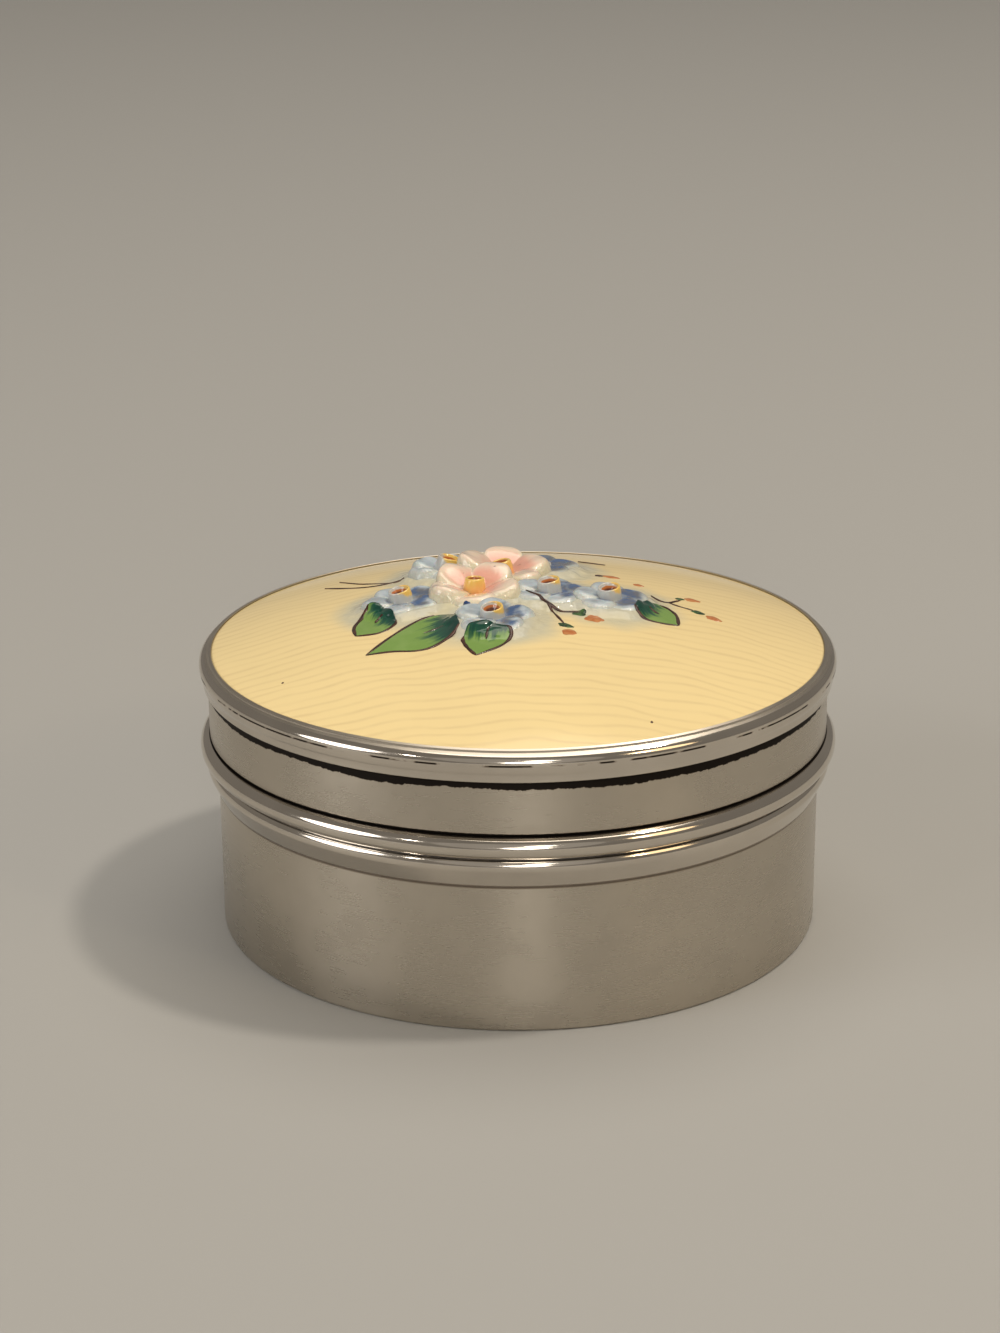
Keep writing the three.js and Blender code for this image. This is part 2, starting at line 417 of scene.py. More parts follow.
class BouquetSettings(bpy.types.PropertyGroup):
    """Sizes and colours of the raised flowers and the painted leaves."""

    pink_petal: measure("Pink petal", "Length of a pink petal from its flower's middle", 4.7 * MM)
    blue_petal: measure("Blue petal", "Length of a blue petal from its flower's middle", 3.9 * MM)
    ground_height: measure("Ground height", "Height of the milky ground", 0.50 * MM)
    ground_margin: measure("Ground margin", "How far the ground reaches past the petals", 1.1 * MM)
    milk_reach: measure("Milk reach", "How far the milky colour fades out past the petals", 4.2 * MM)
    heart_colour: tint("Pink heart", "of a pink petal's heart", (0.84, 0.40, 0.31))
    rim_colour: tint("Petal rim", "of a pink petal's rim", (0.92, 0.76, 0.61))
    pale_blue: tint("Pale blue", "of a blue petal", (0.42, 0.50, 0.57))
    # Deep blue and slate also colour the painted shadow at a blue tube's foot
    deep_blue: tint("Deep blue", "of a blue petal's shading", (0.018, 0.085, 0.27))
    slate: tint("Slate", "of a blue petal's greyer shading", (0.12, 0.13, 0.16))
    tube_yellow: tint("Tube yellow", "of a flower's tube", (0.90, 0.60, 0.14))
    tube_pale: tint("Tube pale", "of a blue flower's tube below its lip", (0.58, 0.59, 0.57))
    tube_foot: tint("Tube foot", "of a pink flower's tube at its foot", (0.88, 0.42, 0.16))
    mouth_orange: tint("Mouth orange", "just inside a tube", (0.50, 0.15, 0.03))
    bore_brown: tint("Bore brown", "of the hole in a tube", (0.10, 0.018, 0.008))
    leaf_tip: tint("Leaf tip", "of a leaf's tip", (0.20, 0.355, 0.075))
    leaf_pale: tint("Leaf pale", "of a leaf's thin places", (0.31, 0.46, 0.15))
    leaf_middle: tint("Leaf middle", "between a leaf's base and tip", (0.012, 0.10, 0.055))
    leaf_base: tint("Leaf base", "of a leaf's base", (0.004, 0.040, 0.034))
    stroke_brown: tint("Stroke brown", "of outlines and stems", (0.030, 0.008, 0.005))
    stroke_thin: tint("Stroke thin", "of a stroke's thin places", (0.09, 0.03, 0.015))
    bud_orange: tint("Bud orange", "of the buds", (0.50, 0.15, 0.035))
    bud_pale: tint("Bud pale", "of a bud's thin places", (0.60, 0.26, 0.09))
    calyx_dark: tint("Calyx dark", "of the green behind a bud", (0.010, 0.035, 0.015))
    calyx_pale: tint("Calyx pale", "of a calyx's thin places", (0.07, 0.16, 0.04))
    dot_dark: tint("Dot", "of the blue dot's heart", (0.03, 0.04, 0.08))


class StageSettings(bpy.types.PropertyGroup):
    """Camera, floor and lights."""

    camera_distance: measure("Camera distance", "From the box's axis, level", 264.4 * MM)
    camera_height: measure("Camera height", "Above the table", 117.3 * MM)
    camera_pitch: slant("Camera pitch", "Down from level", 19.16)
    camera_yaw: slant("Camera yaw", "To the left of the box's axis", 0.38)
    camera_roll: slant("Camera roll", "Tilt of the picture", -0.43)
    lens: bpy.props.FloatProperty(name="Lens", description="Focal length in millimetres", default=75.6)
    floor_colour: tint("Floor", "of the plain floor", (0.42, 0.42, 0.41))
    floor_reach: measure("Floor reach", "From the floor's middle to its edge", 4.0)
    room_colour: tint("Room", "of the light all round", (0.29, 0.265, 0.235))
    room_strength: portion("Room strength", "How strong the light all round is", 0.75)
    aim_height: measure("Aim height", "Where the lights aim, above the table", 20 * MM)


# Materials

def silver_finish(name, satin):
    """Silver: satin where it was left matt and bright on the mouldings, black in the seams where it is
    tarnished and where shade is painted, with a painted shadow at the ring's foot and painted dark reflection
    lines on the bezel's roll.
    """
    look = bpy.context.scene.trinket_silver
    make = Finish(name)
    x, y, z = make.split(make.place)
    radius = (x * x + y * y) ** 0.5
    brushed = make.noise(1.0, 1.0, 0.5, place=make.joined(x * 0.35, y * 0.35, z * 4.0))
    cloudy = make.noise(0.16, 3.0, 0.55)
    specks = make.noise(2.6, 2.0, 0.6).above(0.70, 0.76)
    ragged = make.noise(1.0, 4.0, 0.7, place=make.joined(x * 1.6, y * 1.6, z * 0.8))
    base = look.satin_colour if satin else look.polished_colour
    colour = make.mix(cloudy, rgba(base, 0.86), rgba(base, 1.10))
    colour = make.mix(specks * 0.22, colour, rgba(look.polished_colour, 1.1))
    roughness = (brushed - 0.5) * 0.08 + (cloudy - 0.5) * 0.14
    roughness = roughness + (look.satin_roughness if satin else look.polished_roughness)
    if not satin:
        rim = worn_rim(z, radius)
        roughness = roughness + rim * 0.22
        colour = make.mix(rim * 0.5, colour, rgba(look.satin_colour, 0.9))
    # Dark marks: tarnished seams with painted shade, a painted shadow at the ring's foot and painted dark
    # reflection lines on the bezel's roll
    seams = tarnish_and_painted_shade(make, z, radius, ragged, look)
    colour = make.mix((seams * 1.6).clamped() * 0.8, colour, rgba(look.stain_and_shade_colour))
    colour = make.mix(seams.above(0.25, 0.8), colour, rgba(look.tarnish_and_shade_colour))
    roughness = roughness + seams * 0.35
    height = brushed * 0.5 + make.noise(1.1) * 0.12
    normal = make.bump(height, 0.003 * MM, 0.25)
    if satin:
        make.surface(Anisotropic=0.75, Anisotropic_Rotation=0.25)
    make.surface(Specular_IOR_Level=0.1)
    return make.surface(Base_Color=colour, Metallic=1.0 - seams * 0.85, Roughness=roughness.clamped(),
                        Normal=normal)


def worn_rim(z, radius):
    """The bezel's rim, rubbed dull where it is burnished over the plaque."""
    inner = BEZEL_RADIUS / MM - 0.55
    outer = BEZEL_RADIUS / MM - 0.4
    top = BEZEL_TOP / MM
    return (1 - radius.above(inner, outer)) * z.above(top - 0.7, top - 0.5)


def tarnish_and_painted_shade(make, z, radius, ragged, look):
    """Where the silver is darkened: tarnished below the bezel, tarnished and shaded in paint at the lid's
    edge and in the reeds' crease, a painted shadow at their foot and painted dark reflection lines on the
    bezel's roll.
    """
    band = BAND_RADIUS / MM
    bezel = BEZEL_RADIUS / MM
    bezel_foot = BEZEL_BOTTOM / MM
    ring = RING_RADIUS / MM
    ring_top = RING_TOP / MM
    line_foot = bezel_foot - look.tarnish_height / MM
    crease = ring_top - 2.15
    # Height on the bezel's smooth roll of the painted dark reflection line
    reflection_line_height = BEZEL_TOP / MM - 1.28
    jitter = (ragged - 0.5) * 0.55 + (make.noise(0.09, 1.0, 0.5) - 0.5) * 0.9
    on_band = 1 - radius.above(band + 0.05, band + 0.1)
    below_bezel = (z + jitter).above(line_foot - 0.05, line_foot + 0.1)
    below_bezel = below_bezel * (1 - z.above(bezel_foot + 0.02, bezel_foot + 0.08))
    # Lid's edge: the seam is tarnished, and its black also paints the shade that falls in the gap between lid
    # and ring
    lid_edge_tarnish_and_shade = 1 - (z + jitter * 0.2).above(ring_top + 0.24, ring_top + 0.34)
    lid_edge_tarnish_and_shade = lid_edge_tarnish_and_shade * z.above(ring_top - 0.12, ring_top - 0.02)
    # Reeds' crease: partly tarnished, partly painted shade where the crease lies in shadow
    crease_tarnish_and_shade = z.beside(crease, 0.045, 0.173) * (1 - radius.above(ring - 0.66, ring - 0.5))
    # Painted shadow where the ring's foot meets the wall, half strength
    foot = z.beside(RING_BOTTOM / MM, 0.071, 0.3) * 0.5
    broken = make.noise(0.30, 3.0, 0.65).above(0.44, 0.56)
    # Painted dark reflection lines, broken up, on the bezel's roll
    painted_reflection_line = z.beside(reflection_line_height, 0.032, 0.118) * radius.above(bezel - 0.4, bezel - 0.3)
    return (below_bezel * on_band + lid_edge_tarnish_and_shade * on_band + crease_tarnish_and_shade * (broken * 0.3 + 0.65) + foot
            + painted_reflection_line * broken * 0.8).clamped()


def enamel_finish():
    """Cream enamel over wavy engine-turned lines, turning milky beside the flowers."""
    look = bpy.context.scene.trinket_enamel
    make = Finish("cream_enamel")
    x, y = make.split(make.place)[:2]
    wander = make.noise(1.0, place=make.joined(x * 0.10, y * 0.22, 0.0)) - 0.5
    wave = (x * (FULL_TURN / (look.wave_length / MM)) + y * 0.30 + wander * 3.0).math("SINE")
    bowed = y + wave * (look.wave_height / MM) + x * x * 0.003 + wander * 1.6
    cut = ((bowed * (FULL_TURN * MM / look.line_pitch)).math("SINE") * 0.5 + 0.5) ** 3.5
    faint = make.noise(1.0, 3.0, 0.6, place=make.joined(x * 0.16, y * 0.6, 0.0)).above(0.30, 0.72)
    milk = make.layer("milk")
    lines = cut * (faint * 0.75 + 0.25) * look.line_strength * (1 - milk)
    cloudy = make.noise(0.11)
    colour = make.mix(cloudy, rgba(look.cream_colour, 0.95), rgba(look.cream_colour, 1.03))
    colour = make.mix(lines, colour, rgba(look.line_colour))
    swirl = make.noise(0.45, 3.0, 0.6, 0.8)
    hazy = (make.layer("haze") * 0.85 + swirl.above(0.44, 0.66) * 0.3).clamped()
    milky = make.mix(hazy, rgba(look.milk_colour), rgba(look.haze_colour))
    colour = make.mix((milk * 1.25).clamped() * 0.9, colour, milky)
    edge = ((x * x + y * y) ** 0.5).above(ENAMEL_RADIUS / MM - 0.22, ENAMEL_RADIUS / MM - 0.02)
    colour = make.mix(edge * 0.6, colour, rgba(look.edge_colour))
    ripple = make.noise(0.25) * 0.3
    ripple = ripple + make.noise(1.2) * milk * 2.2
    ripple = ripple + make.noise(1.7) * make.layer("haze") * 2.2
    normal = make.bump(ripple, 0.08 * MM, 0.6)
    return make.surface(Base_Color=colour, Roughness=look.gloss_roughness, Normal=normal,
                        Specular_IOR_Level=0.4)


def pink_petal_finish():
    """Pink petal enamel: a salmon heart that pales to a cream rim."""
    look = bpy.context.scene.trinket_bouquet
    ground = bpy.context.scene.trinket_enamel
    make = Finish("pink_petal_enamel")
    patch = make.noise(0.8, 3.0, 0.6, 0.5) - 0.5
    blush = (make.layer("heart") * 1.2 + patch * 0.45 - make.layer("rimmed") * 0.35).above(0.02, 0.95)
    colour = make.mix(blush * 0.9, rgba(look.rim_colour), rgba(look.heart_colour))
    dots = make.noise(2.4, 1.0, 0.5).above(0.77, 0.79)
    colour = make.mix(dots * 0.6, colour, rgba(look.bore_brown))
    colour = make.mix(make.layer("melt") * 0.8, colour, rgba(ground.milk_colour, 1.15))
    return glazed(make, colour)


def blue_petal_finish():
    """Blue petal enamel: pale and milky with a dark blue wash right of the tube and a painted shadow at the
    tube's foot.
    """
    look = bpy.context.scene.trinket_bouquet
    ground = bpy.context.scene.trinket_enamel
    make = Finish("blue_petal_enamel")
    patch = make.noise(0.9, 3.0, 0.6, 0.6) - 0.5
    thin = make.noise(0.5, 3.0, 0.6, 0.4)
    colour = make.mix(thin.above(0.36, 0.66), rgba(look.pale_blue), rgba(look.pale_blue, 1.35))
    # The shade layer holds the blue wash and the painted shadow at the tube's foot
    wash = (make.layer("shade") * 1.05 + patch * 0.9).above(0.25, 1.0)
    blueness = make.noise(0.7).above(0.36, 0.62)
    dark = make.mix(blueness, rgba(look.slate), rgba(look.deep_blue))
    colour = make.mix(wash * 0.92, colour, dark)
    melted = (make.layer("melt") + make.layer("rimmed") * 0.5).clamped()
    colour = make.mix(melted * 0.75, colour, rgba(ground.haze_colour, 1.15))
    return glazed(make, colour)


def glazed(make, colour):
    """Closes a petal's material: wet, lumpy, slightly deep enamel."""
    lumps = make.noise(1.1, 3.0, 0.55) + make.noise(3.4) * make.layer("rimmed") * 1.5
    normal = make.bump(lumps, 0.12 * MM, 0.6)
    return make.surface(Base_Color=colour, Roughness=0.20, Normal=normal, Coat_Weight=1.0,
                        Coat_Roughness=0.05, Subsurface_Weight=0.10, Subsurface_Scale=0.5 * MM)


def tube_finish(name, pink):
    """A tube's enamel: orange-yellow, or pale with a yellow lip, and a red-brown hole."""
    look = bpy.context.scene.trinket_bouquet
    make = Finish(name)
    up = make.layer("up")
    patch = make.noise(1.2, 3.0, 0.6) - 0.5
    if pink:
        colour = make.mix((up * 1.1 + patch * 0.5).clamped(), rgba(look.tube_foot), rgba(look.tube_yellow))
    else:
        lip = (up * 1.5 + make.layer("yellow") * 0.75 - 1.30 + patch * 0.9).above(0.0, 0.45)
        colour = make.mix(lip, rgba(look.tube_pale), rgba(look.tube_yellow))
    bore = make.layer("bore")
    colour = make.mix((bore + patch * 0.35).above(0.10, 0.30), colour, rgba(look.mouth_orange))
    colour = make.mix((bore + patch * 0.2).above(0.45, 0.85), colour, rgba(look.bore_brown))
    return make.surface(Base_Color=colour, Roughness=0.2, Coat_Weight=0.8, Coat_Roughness=0.05,
                        Subsurface_Weight=0.08, Subsurface_Scale=0.5 * MM)


def leaf_finish():
    """Leaf paint: dark blue-green at the base, ragged where it ends, yellow-green to the tip."""
    look = bpy.context.scene.trinket_bouquet
    make = Finish("leaf_paint")
    along = make.layer("along")
    across = make.layer("across")
    ragged = make.noise(1.1, 2.0, 0.6, 0.4) - 0.5
    brushed = make.noise(1.0, 3.0, 0.6, place=make.joined(along * 2.2, across * 5.0, 0.0)) - 0.5
    border = along + across * across * 0.12 + ragged * 0.12 + brushed * 0.45
    colour = make.mix((along + brushed * 0.5).above(0.15, 0.60), rgba(look.leaf_base), rgba(look.leaf_middle))
    colour = make.mix(border.above(0.44, 0.66), colour, rgba(look.leaf_tip))
    pale = make.noise(0.5).above(0.4, 0.7)
    colour = make.mix(pale * 0.3 * border.above(0.5, 0.7), colour, rgba(look.leaf_pale))
    return make.surface(Base_Color=colour, Roughness=0.16, Coat_Weight=0.25, Coat_Roughness=0.03)


def paint_finish(name, colour, second):
    """Plain fired paint, thinner in places."""
    make = Finish(name)
    patch = make.noise(1.6, 2.0, 0.6)
    shade = make.mix(patch.above(0.35, 0.7), rgba(colour), rgba(second))
    return make.surface(Base_Color=shade, Roughness=0.25, Coat_Weight=0.15, Coat_Roughness=0.04)


# Pieces

class TRINKET_OT_cup(bpy.types.Operator):
    """Turn the satin silver cup with its floor, wall and collar"""

    bl_idname = "trinket.cup"
    bl_label = "Cup"

    def execute(self, context):
        foot = 0.3 * MM
        lip = 0.2 * MM
        fillet = 0.7 * MM
        inner = WALL_RADIUS - WALL
        profile = [(0, 0)]
        profile += arc(WALL_RADIUS - foot, foot, foot, foot, -90, 0, 5)
        profile += [(WALL_RADIUS, COLLAR_TOP * share) for share in (0.15, 0.3, 0.45, 0.6, 0.75, 0.9)]
        profile += arc(WALL_RADIUS - lip, COLLAR_TOP - lip, lip, lip, 0, 90, 4)
        profile += arc(inner + lip, COLLAR_TOP - lip, lip, lip, 90, 180, 4)
        profile += arc(inner - fillet, FLOOR + fillet, fillet, fillet, 0, -90, 6)
        profile += [(0, FLOOR)]
        turned("cup", profile, "satin_silver", True, "box_body")
        return {"FINISHED"}


class TRINKET_OT_stop_ring(bpy.types.Operator):
    """Turn the double-reeded stop ring"""

    bl_idname = "trinket.stop_ring"
    bl_label = "Stop ring"

    def execute(self, context):
        bore = WALL_RADIUS + 0.05 * MM
        upper = 1.05 * MM
        lower = 0.93 * MM
        upper_r = RING_RADIUS - upper
        upper_z = RING_TOP - upper
        lower_stand = 1.1 * MM
        reed_pitch = 1.95 * MM
        foot = 0.1 * MM
        lower_r = WALL_RADIUS + lower_stand - lower
        lower_z = upper_z - reed_pitch
        profile = [(bore, RING_BOTTOM), (bore + foot, RING_BOTTOM)]
        profile += arc(lower_r, lower_z, lower, lower, -28, 52, 12)
        profile += arc(upper_r, upper_z, upper, upper, -54, 90, 22)
        profile += [(bore, RING_TOP)]
        turned("reeded_stop_ring", profile, "polished_silver_ring", False, "stop_ring")
        return {"FINISHED"}


class TRINKET_OT_lid_shell(bpy.types.Operator):
    """Turn the lid's satin band with its closed plate"""

    bl_idname = "trinket.lid_shell"
    bl_label = "Lid shell"

    def execute(self, context):
        edge = 0.38 * MM
        plate = 0.5 * MM
        corner = 0.1 * MM
        shoulder = 0.15 * MM
        band_height = PLATE_TOP - RING_TOP
        profile = [(0, PLATE_TOP - plate)]
        profile += [(BAND_INNER - corner, PLATE_TOP - plate), (BAND_INNER, PLATE_TOP - plate - corner)]
        profile += [(BAND_INNER, RING_TOP)]
        profile += [(BAND_RADIUS - edge, RING_TOP)]
        profile += arc(BAND_RADIUS - edge, RING_TOP + edge, edge, edge, -78, 0, 6)
        profile += [(BAND_RADIUS, RING_TOP + share * band_height) for share in (0.2, 0.4, 0.6, 0.8)]
        profile += arc(BAND_RADIUS - shoulder, PLATE_TOP - shoulder, shoulder, shoulder, 0, 90, 3)
        profile += [(0, PLATE_TOP)]
        turned("lid_band", profile, "satin_silver_lid", True, "lid_shell")
        return {"FINISHED"}


class TRINKET_OT_bezel(bpy.types.Operator):
    """Turn the bezel: lip, cove, roll and the rim burnished over the plaque"""

    bl_idname = "trinket.bezel"
    bl_label = "Bezel"

    def execute(self, context):
        lip = BAND_RADIUS + 0.48 * MM
        lip_height = 0.35 * MM
        lip_round = 0.17 * MM
        roll = 0.9 * MM
        roll_r = BEZEL_RADIUS - roll
        roll_z = BEZEL_TOP - 1.2 * MM
        rim = 0.12 * MM
        rim_edge = 0.03 * MM
        lip_top = BEZEL_BOTTOM + lip_height
        profile = [(BEZEL_BORE, BEZEL_BOTTOM)]
        profile += arc(lip - lip_round, BEZEL_BOTTOM + lip_height / 2, lip_round, lip_height / 2, -90, 15, 7)
        profile += arc(roll_r, roll_z, roll, roll_z - lip_top, -46, 0, 10)
        profile += arc(roll_r, roll_z, roll, roll, 5, 62, 12)
        profile += [(ENAMEL_RADIUS + 0.05 * MM, BEZEL_TOP), (ENAMEL_RADIUS, BEZEL_TOP - rim_edge)]
        profile += [(ENAMEL_RADIUS, BEZEL_TOP - rim), (BEZEL_BORE, BEZEL_TOP - rim)]
        turned("bezel_moulding", profile, "polished_silver_bezel", False, "bezel_ring")
        return {"FINISHED"}


class TRINKET_OT_plaque(bpy.types.Operator):
    """Dome the enamel plaque and raise the milky ground that the flowers stand in"""

    bl_idname = "trinket.plaque"
    bl_label = "Enamel plaque"

    def execute(self, context):
        seat = 2.0 * MM
        thickness = 1.5 * MM
        inner = PLAQUE_RADIUS - seat
        inner_rise = ENAMEL_EDGE - PLATE_TOP + DOME_RISE - thickness
        inner_sphere = (inner ** 2 + inner_rise ** 2) / (2 * inner_rise)
        inner_centre = PLATE_TOP + inner_rise - inner_sphere
        inner_rings = 12
        outer_rings = 120
        steps_round = 320
        profile = []
        for step in range(inner_rings + 1):
            radius = inner * step / inner_rings
            profile.append((radius, inner_centre + math.sqrt(inner_sphere ** 2 - radius ** 2)))
        profile.append((PLAQUE_RADIUS, PLATE_TOP))
        for step in range(outer_rings + 1):
            radius = PLAQUE_RADIUS * (1 - step / outer_rings)
            profile.append((radius, dome_height(radius, 0)))
        bm = bmesh.new()
        spun(bm, profile, steps_round)
        milk = point_layer(bm, "milk")
        haze = point_layer(bm, "haze")
        for vert in bm.verts:
            x, y = vert.co.x, vert.co.y
            if vert.co.z > dome_height(x, y) - 0.01 * MM and math.hypot(x, y) < ENAMEL_RADIUS:
                vert[milk] = milkiness(x, y)
                vert[haze] = haziness(x, y)
                vert.co = on_dome(x, y, ground_height(x, y))
        enamelled("enamel_dome", bm, enamel_finish(), 60)
        return {"FINISHED"}


def relief(x, y):
    """Height of whatever enamel covers the dome at a place: the milky ground or a petal."""
    height = ground_height(x, y)
    for flower in FLOWERS:
        if math.hypot(x - flower.x, y - flower.y) < flower.reach() + 0.4 * MM:
            height = max(height, petal_surface(flower, x - flower.x, y - flower.y)[0])
    return height


def petal_surface(flower, x, y):
    """A flower's height above the dome, with how near its heart, its rim and the ground that place is.

    Each petal is a rounded disc that rises and cups towards its rim. The higher one is on top where two meet.
    """
    kind = flower.kind
    length = flower.reach()
    heart_height = kind.heart * MM
    lap = 0.2 * MM
    best = (-0.15 * MM, 0.0, 0.0, 1.0)
    for petal in range(PETALS):
        angle = flower.turn + FULL_TURN * petal / PETALS
        vary = noise.noise(Vector((flower.seed, petal * 3.1, 0.5)))
        ruffle = noise.noise(Vector((x, y, flower.seed * MM)) / (1.9 * MM))
        along = (x * math.cos(angle) + y * math.sin(angle)) / length
        side = (y * math.cos(angle) - x * math.sin(angle)) / length
        across = side / (PETAL_HALF_WIDTH + 0.04 * vary)
        outward = (along - PETAL_MIDDLE) / (PETAL_HALF_LENGTH + 0.03 * vary)
        inside = (1 - math.hypot(outward, across)) * PETAL_HALF_WIDTH * length + 0.22 * MM * ruffle
        if inside < -lap:
            continue
        back = math.sin(angle)
        right = math.cos(angle)
        rim = kind.rim + kind.back * back + kind.right * right + flower.left * max(0.0, -right)
        rim *= flower.rise * MM
        rise = math.sin(min(1.0, max(0.0, along) / 0.86) * math.pi / 2) ** 1.5
        height = heart_height + (rim - heart_height) * rise
        height += kind.cup * MM * across ** 2 * rise
        height += kind.twist * MM * across + kind.ruffle * MM * ruffle * rise
        roundness = min(1.0, max(0.0, (inside + lap) / ((kind.roll + kind.back_roll * back) * MM)))
        height *= math.sqrt(1 - (1 - roundness) ** 2)
        if height > best[0]:
            pinker = 0.74 + 0.36 * math.cos(angle - 0.6)
            heart = (1 - smooth_step(0.24, 0.88, along)) * (1 - 0.40 * min(1.0, across ** 2)) * pinker
            melt = 1 - smooth_step(0.60 * rim, 1.02 * rim, height)
            rimmed = 1 - smooth_step(0.1 * MM, 0.9 * MM, inside)
            best = (height, heart, rimmed, melt * rimmed)
    return best


def blue_wash_and_shadow(x, y, seed):
    """Where a blue flower is darkened: a blue wash right of its tube, and a painted shadow round the front of
    the tube's foot.
    """
    patch_radius = 2.1
    foot_radius = 1.55
    away = math.hypot(x, y) / MM
    if away < 0.2:
        return 1.0
    facing = x / (away * MM)
    front = -y / (away * MM)
    wander = noise.noise(Vector((x, y, seed * MM)) / (1.1 * MM))
    off_patch = abs(away - patch_radius - 0.5 * wander)
    patch = (1 - smooth_step(0.5, 1.9, off_patch)) * smooth_step(-0.25, 0.75, facing)
    # Painted shadow at the front of the tube's foot
    foot_shadow = (1 - smooth_step(0.05, 0.55, abs(away - foot_radius))) * smooth_step(-0.3, 0.5, front)
    return max(patch * (0.8 + 0.6 * wander), 0.75 * foot_shadow)


def corolla(bm, flower):
    """A flower's five petals as one closed form that melts into the ground, with what its material reads."""
    reach = flower.reach() + 0.35 * MM
    foot = -0.35 * MM
    rings = 56
    steps_round = 160
    profile = [(0, foot), (reach, foot)]
    profile += [(reach * (1 - ring / rings), 0) for ring in range(rings + 1)]
    layers = [point_layer(bm, name) for name in ("heart", "rimmed", "melt", "shade")]
    spun(bm, profile, steps_round)
    for vert in bm.verts:
        x, y = vert.co.x, vert.co.y
        height = foot
        if vert.co.z > 0.5 * foot:
            height, heart, rimmed, melt = petal_surface(flower, x, y)
            # Blue wash and painted shadow at the tube's foot, plus the flower's own deeper blue
            shade = blue_wash_and_shadow(x, y, flower.seed) + flower.wash
            for layer, value in zip(layers, (heart, rimmed, melt, shade)):
                vert[layer] = value
        vert.co = on_dome(flower.x + x, flower.y + y, height)
    bmesh.ops.recalc_face_normals(bm, faces=bm.faces)


def flower_tube(bm, flower):
    """Adds a flower's short tube: a straight one with a round hole, or a squat one with a funnel mouth."""
    up, bore, yellow = (point_layer(bm, name) for name in ("up", "bore", "yellow"))
    kind = flower.kind
    radius = kind.tube_radius * MM
    height = kind.tube_height * flower.tall * MM
    mouth = kind.mouth * MM
    throat = kind.throat * MM
    lip = (radius * kind.lip_share - mouth) / 2
    lip_edge = mouth + 0.7 * lip
    steps_round = 48
    profile = [(0, 0), (radius, 0), (radius * 1.04, 0.3 * height), (radius * 1.02, 0.6 * height)]
    profile += arc(mouth + lip, height - lip, lip, lip, 0, 180, 10)
    profile += [(mouth * 0.86 + throat * 0.14, height - 2.0 * lip), (throat * 1.15, height - 0.55 * MM),
                (throat * 0.9, height - 0.75 * MM), (0, height - 0.8 * MM)]
    spun(bm, profile, steps_round)
    for vert in bm.verts:
        away = math.hypot(vert.co.x, vert.co.y)
        inside = vert.co.z > height - 1.2 * MM and away < lip_edge
        vert[up] = min(1.0, vert.co.z / height)
        vert[bore] = smooth_step(lip_edge, throat * 0.9, away) if inside else 0.0
        vert[yellow] = vert.co.x / radius - 2 * flower.wash
        wobble = noise.noise(vert.co / (1.1 * MM) + Vector((0, 0, 5)))
        vert.co.x *= 1 + 0.09 * wobble
        vert.co.y *= 1 + 0.09 * wobble


class TRINKET_OT_flowers(bpy.types.Operator):
    """Model the raised flowers: five petals each and a short tube"""

    bl_idname = "trinket.flowers"
    bl_label = "Flowers"

    def execute(self, context):
        pink_looks = (pink_petal_finish(), tube_finish("pink_tube_enamel", True))
        blue_looks = (blue_petal_finish(), tube_finish("blue_tube_enamel", False))
        for flower in FLOWERS:
            petal_look, tube_look = pink_looks if flower.kind is PINK else blue_looks
            bm = bmesh.new()
            corolla(bm, flower)
            enamelled(flower.name + "_petals", bm, petal_look, 80)
            bm = bmesh.new()
            flower_tube(bm, flower)
            tilt = Euler([math.radians(angle) for angle in (*flower.lean, 0)]).to_matrix().to_4x4()
            stand = Matrix.Translation(on_dome(flower.x, flower.y, 0.1 * MM))
            bmesh.ops.transform(bm, matrix=stand @ tilt, verts=bm.verts)
            enamelled(flower.name + "_tube", bm, tube_look, 80)
        return {"FINISHED"}


# Painted marks

PAINT_DEPTH = 0.10 * MM
STROKE_FOOT = 0.03 * MM
STROKE_CROWN = 0.05 * MM
STROKE_TAPER = 0.35
LEAF_LIFT = 0.035 * MM
LEAF_RISE = 0.16 * MM
BUD_RISE = 0.07 * MM

# Points in millimetres on the lid, seen from above: a leaf's base, its tip and the points of its left and
# right edges, a stem's points and width, and a bud's place, length, width, turn in degrees and colour
LEAVES = (
    ("leaf_large", (-5.9, -6.9), (-14.4, -12.6),
     ((-6.4, -5.3), (-7.7, -4.8), (-9.5, -5.7), (-12.0, -8.9)),
     ((-5.6, -8.7), (-7.0, -11.2), (-9.0, -12.9), (-12.2, -12.5))),
    ("leaf_left", (-12.0, -4.5), (-15.6, -7.8),
     ((-13.0, -2.7), (-14.3, -1.9), (-15.1, -3.1), (-15.9, -5.5)),
     ((-11.8, -5.6), (-12.4, -7.0), (-13.6, -7.9))),
    ("leaf_front", (-2.7, -9.5), (-3.9, -14.7),
     ((-4.4, -9.3), (-5.2, -11.0), (-4.8, -12.9)),
     ((-1.0, -9.7), (-0.6, -11.0), (-1.6, -12.9))),
    ("leaf_right", (11.7, -2.2), (15.7, -5.5),
     ((12.9, -0.8), (14.4, -0.5), (15.6, -2.6)),
     ((11.5, -3.4), (12.6, -4.9), (14.1, -5.5))),
)
